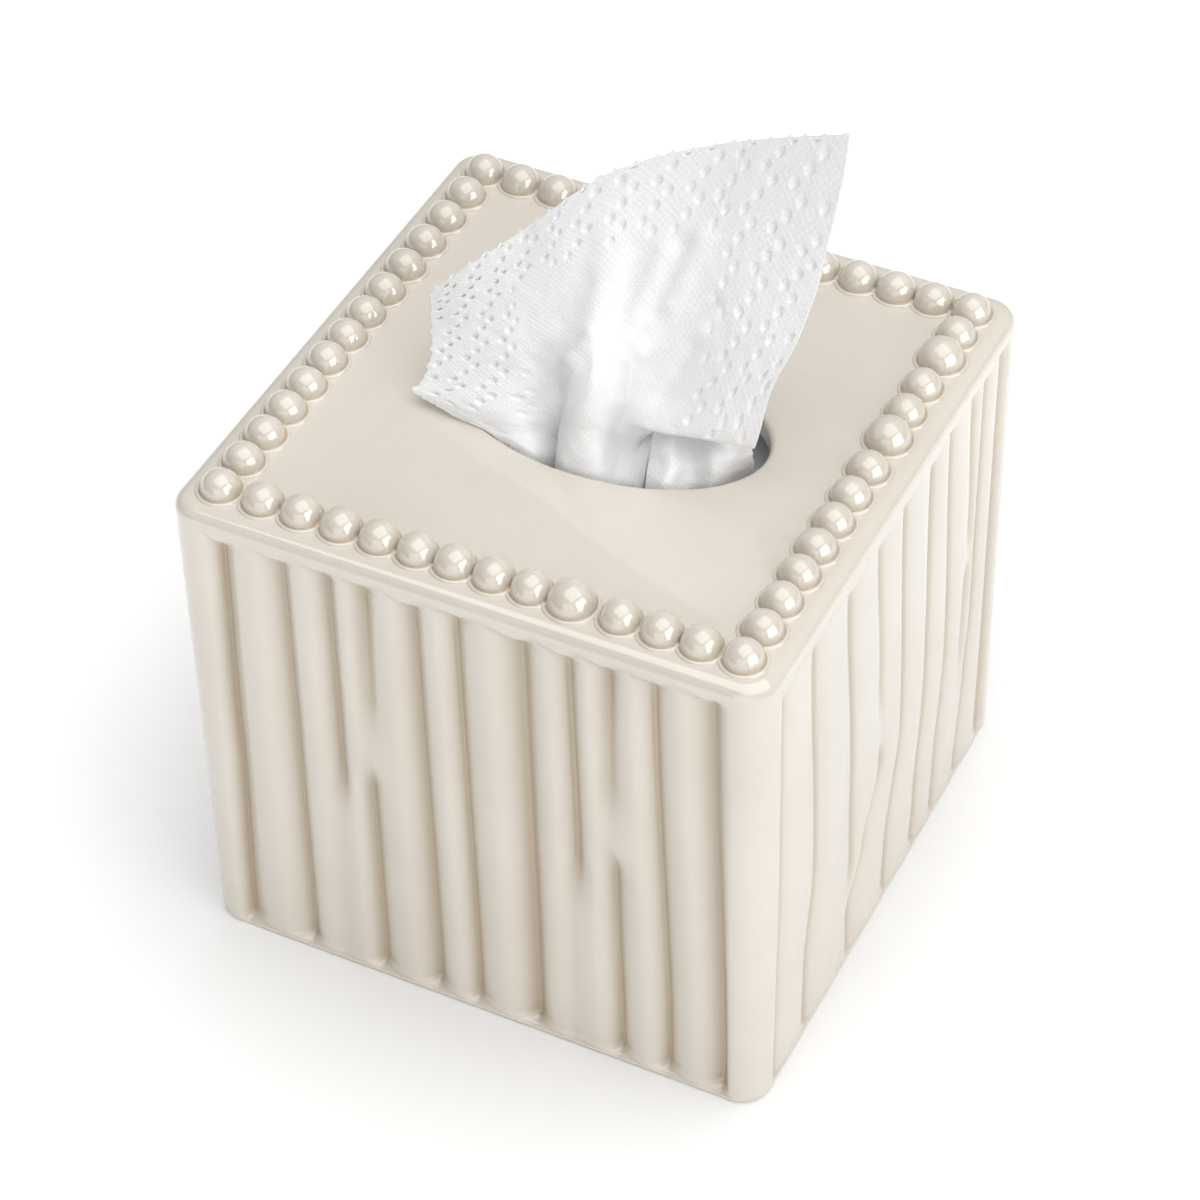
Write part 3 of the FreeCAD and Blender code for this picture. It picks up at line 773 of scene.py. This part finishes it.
# Perforation nubs on the top edge, waves of the left edge as (height, waves per mm, phase), and the share of
# the sheet that goes along with each edge
NUB_PITCH, NUB_RISE, NUB_WIDTH = 5.0, 0.75, 0.5
NUB_WAVER, NUB_WAVER_RATE = 0.6, 0.9
ROUGH_WAVES = [(0.25, 1.7, 0), (0.2, 3.1, 1)]
NUB_SHARE, ROUGH_SHARE = 0.012, 0.015
# Embossed dots on a diagonal grid: their pitch, radius, rise and the power that flattens them, how many of
# each run of places have one, and the band along the edges that has them
DOT_PITCH, DOT_R, DOT_RISE, DOT_POWER, DIAGONAL = 3.5, 0.95, 1.1, 6, 1.414
DOT_RUN, DOTS_IN_RUN = 5, 3
BAND, BAND_FADE, BAND_MARGIN, TOP_BAND_SHARE = 27, 6.0, 0.8, 1.6
# Fine unevenness of the paper: number of waves, height, range of waves per mm, and a random phase's range
GRAIN_WAVES, GRAIN_RISE, GRAIN_RATES, GRAIN_BEND = 26, 0.25, (0.35, 1.6), 0.11
FULL_TURN = 6.28


def sheet_rows():
    """The raised sheet's control net."""
    rim = [at_rim(*point) for point in SHEET_RIM]
    low = [gathered(*SHEET_FOOT), gathered(*SHEET_SLIT), lowered(rim, RIM_DROP), rim]
    first, second, *others = [seen(places, depths) for places, depths in SHEET_NET]
    # The wing's lower edge is a tight fold: a row close behind it there, and on the way elsewhere
    fold = [0.25 * a + 0.75 * b for a, b in zip(first, second)]
    fold[WING_COLUMN:] = seen(*WING_FOLD)
    return np.array(low + [first, fold, second] + others)


def worn_edges(grid):
    """The grid with small nubs left by the perforation on its top edge, and a slightly uneven left edge."""
    t, s = (np.linspace(0, 1, count) for count in grid.shape[:2])
    across = running(step_lengths(grid[-1], 0))
    off = np.mod(across + NUB_WAVER * np.sin(across * NUB_WAVER_RATE), NUB_PITCH) - NUB_PITCH / 2
    nub = NUB_RISE * np.exp(-(off / NUB_WIDTH) ** 2)
    rise = unit(grid[-1] - grid[-4])
    grid = grid + smooth((t - 1 + NUB_SHARE) / NUB_SHARE)[:, None, None] * (nub[:, None] * rise)[None]
    high = running(step_lengths(grid[:, 0], 0))
    rough = sum(size * np.sin(high * rate + phase) for size, rate, phase in ROUGH_WAVES)
    side = unit(grid[:, 0] - grid[:, 4])
    return grid + smooth((ROUGH_SHARE - s) / ROUGH_SHARE)[None, :, None] * (rough[:, None] * side)[:, None]


def soft_folds(grid):
    """Height of the soft folds at each point of the raised sheet."""
    crop = (in_frame(grid) - CROP_CORNER) * CROP_SCALE
    height = np.zeros(grid.shape[:2])
    for start, end, width, rise in SHEET_FOLDS:
        a, b = np.array(start, float), np.array(end, float)
        part = ((crop - a) @ (b - a)) / ((b - a) @ (b - a))
        away = np.linalg.norm(crop - a - np.clip(part, 0, 1)[..., None] * (b - a), axis=2)
        height += rise * np.exp(-(away / width) ** 2)
    return height


def embossing(u, v):
    """Height of the dots in the band along the sheet's free edges, at flat places on it."""
    p, q = (u + v) / (DOT_PITCH * DIAGONAL), (u - v) / (DOT_PITCH * DIAGONAL)
    cell_p, cell_q = np.round(p), np.round(q)
    off = np.hypot(p - cell_p, q - cell_q) * DOT_PITCH
    edge = np.minimum.reduce([u, u.max() - u, (v.max() - v) * TOP_BAND_SHARE])
    kept = np.mod(cell_p + 2 * cell_q, DOT_RUN) < DOTS_IN_RUN
    band = smooth((BAND - edge) / BAND_FADE) * smooth((edge - BAND_MARGIN) / BAND_MARGIN)
    return DOT_RISE * np.exp(-(off / DOT_R) ** DOT_POWER) * kept * band


def grain(u, v):
    """Fine uneven waves of the paper, at flat places on it."""
    waves = np.zeros_like(u)
    for k in range(GRAIN_WAVES):
        rate = rng.uniform(*GRAIN_RATES)
        turn = rng.uniform(0, math.pi)
        phase = rng.uniform(0, FULL_TURN)
        along_wave = (u * math.cos(turn) + v * math.sin(turn)) * rate
        waves += np.sin(along_wave + phase + np.sin(v * GRAIN_BEND + k)) / GRAIN_WAVES
    return GRAIN_RISE * waves


def make_tissue(paper):
    """The raised sheet, with its flat width and length."""
    grid = worn_edges(net_surface(sheet_rows(), SHEET_ROWS, SHEET_COLS, OPEN_ROW))
    flat_u = running(step_lengths(grid[SHEET_ROWS // 2:], 1).mean(0))
    flat_v = running(step_lengths(grid, 0).mean(1))
    u, v = np.meshgrid(flat_u, flat_v)
    above_rim = smooth((grid[:, :, 2].min(1) - HEIGHT) / RIM_FADE)[:, None]
    shift = (soft_folds(grid) + embossing(u, v)) * above_rim + grain(u, v)
    grid = grid - normals_of(grid) * shift[..., None]
    piece = closed_sheet("raised_sheet", grid, SHEET_THICK, np.stack([u, v], -1), paper)
    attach(piece, "tissue")
    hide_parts("raised_tissue")
    return piece, flat_u[-1], flat_v[-1]


# Next sheet: plan places of its foot, its rows up to the slit as (spread, shift in x, shift in y, height),
# its row at the rim, and its rows above
NEXT_FOOT = [(14, -3), (17, -1), (20, -5), (23, -1), (26, -3), (29, -2)]
NEXT_LOW = [(1.0, 0, 0, 99.1), (1.03, 0, -0.5, 111), (1.06, -0.3, -2, SLIT_Z)]
NEXT_RIM = [(785, 1172, 5), (850, 1180, 2), (930, 1178, 4.5), (1010, 1162, 2), (1075, 1138, 3.5),
            (1128, 1092, 2)]
NEXT_RIM_DROP = 4.5
NEXT_NET = [
    ([(800, 1090), (862, 1100), (935, 1090), (1005, 1085), (1072, 1078), (1128, 1058)],
     [-12.5, -15.5, -11, -13, -9.5, -8]),
    ([(815, 985), (862, 1000), (930, 1000), (1000, 1005), (1062, 1012), (1122, 1020)],
     [-6.5, -8.5, -5.5, -7.5, -5, -4]),
]
NEXT_COLS, NEXT_ROWS, NEXT_WIDTH, NEXT_LENGTH, NEXT_THICK = 130, 150, 26.0, 48.0, 0.2
CRUMPLES, CRUMPLE_RISE, CRUMPLE_RATES, CRUMPLE_SOFT = 14, 2.4, (0.2, 0.6), 0.03
HALF_TURN = 3.14


def make_next(paper):
    """The crumpled tip of the next sheet, in the right end of the opening."""
    rim = [at_rim(*point) for point in NEXT_RIM]
    rows = [[spot(x * spread + dx, y + dy, z) for x, y in NEXT_FOOT] for spread, dx, dy, z in NEXT_LOW]
    rows += [lowered(rim, NEXT_RIM_DROP), rim]
    rows += [seen(places, depths) for places, depths in NEXT_NET]
    grid = net_surface(np.array(rows), NEXT_ROWS, NEXT_COLS)
    u, v = np.meshgrid(np.linspace(0, NEXT_WIDTH, NEXT_COLS), np.linspace(0, NEXT_LENGTH, NEXT_ROWS))
    crumple = np.zeros_like(u)
    for _ in range(CRUMPLES):
        turn = rng.uniform(0, HALF_TURN)
        rate = rng.uniform(*CRUMPLE_RATES)
        phase = rng.uniform(0, FULL_TURN)
        wave = np.sin((u * math.cos(turn) + v * math.sin(turn)) * rate + phase)
        crumple += np.sqrt(wave ** 2 + CRUMPLE_SOFT) / CRUMPLES
    grid = grid - normals_of(grid) * ((crumple - crumple.mean()) * CRUMPLE_RISE)[..., None]
    piece = closed_sheet("next_sheet", grid, NEXT_THICK, np.stack([u, v], -1), paper)
    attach(piece, "carton")
    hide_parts("next_tissue")


# Stack of folded sheets: its layers, its outline's points and squareness, its play in the solid's box, how
# far the layers' edges lie in and out, and the waves along them
LAYERS, STACK_COLS, STACK_SQUARE = 90, 240, 14
STACK_INSET, STACK_DROP = 0.4, 0.1
LAYER_TUCK, LAYER_REACH = -0.35, (-0.05, 0.3)
LAYER_WAVE, LAYER_WAVES, LAYER_TURN = 0.12, 5, 0.7
# The stack's top: rings in to the last one's share of the outline, and the soft dips and sag of its middle
TOP_RINGS, LAST_RING, TOP_DIP, DIP_RATES, TOP_SAG, SAG_EDGE = 24, 0.02, 0.25, (0.21, 0.17), 0.3, 6


def make_stack(paper):
    """The folded sheets left in the carton: a block of thin layers with uneven edges."""
    low, high = (np.array(corner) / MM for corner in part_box("tissue_stack"))
    side = (high[0] - low[0]) / 2 - STACK_INSET
    around = np.arange(STACK_COLS) * (2 * math.pi / STACK_COLS)
    c, s = np.cos(around), np.sin(around)
    r = (np.abs(c) ** STACK_SQUARE + np.abs(s) ** STACK_SQUARE) ** (-1 / STACK_SQUARE)
    rows, uvs = [], []
    for k in range(LAYERS * 2 + 1):
        z = np.full(STACK_COLS, low[2] + (high[2] - low[2] - STACK_DROP) * k / (LAYERS * 2))
        tuck = LAYER_TUCK if k % 2 == 0 else rng.uniform(*LAYER_REACH)
        reach = (side + tuck + LAYER_WAVE * np.sin(around * LAYER_WAVES + k * LAYER_TURN)) * r
        rows.append(np.stack([reach * c, reach * s, z], -1))
        uvs.append(np.stack([around * side, z], -1))
    top = rows[-1]
    for f in np.linspace(1, LAST_RING, TOP_RINGS)[1:]:
        xy = top[:, :2] * f
        dip = TOP_DIP * np.prod(np.sin(xy * DIP_RATES), axis=1) - TOP_SAG
        rows.append(np.column_stack([xy, top[:, 2] + dip * smooth((1 - f) * SAG_EDGE)]))
        uvs.append(xy)
    grid = np.array(rows)
    count = len(rows) * STACK_COLS
    last = count - STACK_COLS
    faces = grid_faces(len(rows), STACK_COLS, loop_cols=True).tolist()
    for j in range(STACK_COLS):
        n = (j + 1) % STACK_COLS
        faces.append([last + j, last + n, count])
        faces.append([n, j, count + 1])
    points = np.concatenate([grid.reshape(-1, 3), [[0, 0, grid[-1, :, 2].mean()], [0, 0, low[2]]]])
    uv = np.concatenate(uvs + [np.zeros((2, 2))]) * MM
    piece = mesh_object("sheet_stack", points, faces, paper, uv=uv)
    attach(piece, "carton")
    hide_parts("tissue_stack")


def dress(name, material):
    """A solid that stays as it is, with a better material."""
    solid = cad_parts[name]
    solid.data.materials.clear()
    solid.data.materials.append(material)


# Stage: floor size, and the glow that keeps the floor pale round the object's shadow, by distance
FLOOR_HALF = 6
GLOW_FROM, GLOW_TO, GLOW_LOW, GLOW_HIGH = 0.08, 0.23, 0.03, 0.45
# World light: darker on the left, with a brighter patch that the plate mirrors towards the camera
WORLD_LEFT, WORLD_RIGHT, LEFT_TO, RIGHT_FROM = 0.12, 0.45, -0.7, 0.5
PATCH, PATCH_WAY, PATCH_FROM, PATCH_FULL = 0.34, (-0.33, 0.65, 0.69), 0.35, 0.85


def link_object(name, data):
    made = bpy.data.objects.new(name, data)
    bpy.context.scene.collection.objects.link(made)
    return made


def make_floor():
    """A pale floor. Its glow shows to the camera, in reflections and through film, and adds no light."""
    mesh = bpy.data.meshes.new("floor")
    corners = [(-FLOOR_HALF, -FLOOR_HALF, 0), (FLOOR_HALF, -FLOOR_HALF, 0),
               (FLOOR_HALF, FLOOR_HALF, 0), (-FLOOR_HALF, FLOOR_HALF, 0)]
    mesh.from_pydata(corners, [], [(0, 1, 2, 3)])
    floor = link_object("floor", mesh)
    material, tree, shader = new_material("pale_floor")
    place = object_place(tree)
    path = node(tree, "ShaderNodeLightPath").outputs
    shown = math_node(tree, "MAXIMUM", path["Is Camera Ray"], path["Is Glossy Ray"])
    shown = math_node(tree, "MAXIMUM", shown, path["Is Transmission Ray"])
    away = node(tree, "ShaderNodeVectorMath", {0: place}, operation="LENGTH").outputs["Value"]
    glow = value_range(tree, away, GLOW_FROM, GLOW_TO, GLOW_LOW, GLOW_HIGH)
    set_inputs(tree, shader, {
        "Base Color": mix_colour(tree, noise(tree, place, 5.0), FLOOR_LOW, FLOOR_HIGH),
        "Roughness": 0.9,
        "Specular IOR Level": 0.0,
        "Emission Color": WHITE,
        "Emission Strength": math_node(tree, "MULTIPLY", shown, glow),
    })
    mesh.materials.append(material)


def make_world():
    """White light from all round, of uneven strength."""
    world = bpy.data.worlds.new("studio")
    bpy.context.scene.world = world
    world.use_nodes = True
    tree = world.node_tree
    ahead = node(tree, "ShaderNodeTexCoord").outputs["Generated"]
    sideways = node(tree, "ShaderNodeSeparateXYZ", {0: ahead}).outputs[0]
    sides = value_range(tree, sideways, LEFT_TO, RIGHT_FROM, WORLD_LEFT, WORLD_RIGHT)
    near_patch = node(tree, "ShaderNodeVectorMath", {0: ahead, 1: PATCH_WAY}, operation="DOT_PRODUCT")
    patch = value_range(tree, near_patch.outputs["Value"], PATCH_FROM, PATCH_FULL, 0.0, PATCH)
    strength = math_node(tree, "ADD", sides, patch)
    set_inputs(tree, tree.nodes["Background"], {"Color": WHITE, "Strength": strength})


def area_light(name, place, target, size, power):
    """A rectangular lamp at a place, turned to a target."""
    lamp = bpy.data.lights.new(name, "AREA")
    lamp.shape = "RECTANGLE"
    lamp.size, lamp.size_y = size
    lamp.energy = power
    holder = link_object(name, lamp)
    holder.location = place
    holder.rotation_mode = "QUATERNION"
    holder.rotation_quaternion = (Vector(target) - Vector(place)).to_track_quat("-Z", "Y")
    return holder


def make_lamps(bead_rows):
    """Soft studio lamps. The shine is seen only as the beads' highlight, and the key in no reflection."""
    key = area_light("key", (1.05, -0.30, 0.56), (0, 0, 0.08), (0.92, 0.84), 2.8)
    key.visible_glossy = False
    shine = area_light("shine", (1.20, -0.30, 0.42), (0, 0, 0.12), (1.25, 1.35), 21.0)
    shine.visible_diffuse = shine.visible_transmission = False
    shone_on = bpy.data.collections.new("shone_on")
    for piece in bead_rows:
        shone_on.objects.link(piece)
    shine.light_linking.receiver_collection = shone_on
    area_light("fill", (0.32, -1.34, 0.46), (0, 0, 0.08), (1.4, 0.9), 4.2)
    area_light("overhead", (0.22, -0.10, 1.5), (0, 0, 0.1), (1.8, 1.6), 14.6)


def make_camera():
    """The camera, at the place and angles fitted to the photograph."""
    lens = bpy.data.cameras.new("camera")
    lens.sensor_fit = "HORIZONTAL"
    lens.sensor_width = 36.0
    lens.lens = CAM_F / FRAME_PX * lens.sensor_width
    lens.clip_start, lens.clip_end = 0.01, 50
    holder = link_object("camera", lens)
    turn = Matrix([list(row) for row in np.stack([CAM_RIGHT, CAM_UP, CAM_BACK], 1)]).to_4x4()
    turn.translation = CAM_POS * MM
    holder.matrix_world = turn
    bpy.context.scene.camera = holder


glaze = glaze_material()
paper = tissue_material()
make_cover(glaze)
bead_rows = [make_beads(side, large, turn, glaze) for turn, (side, large) in enumerate(LARGE_BEADS.items())]
raised, flat_width, flat_length = make_tissue(paper)
make_next(paper)
make_stack(paper)
dress("tissue_carton", board_material())
dress("carton_film", film_material())
make_floor()
make_world()
make_lamps(bead_rows)
make_camera()
bpy.context.scene.view_settings.view_transform = "Standard"
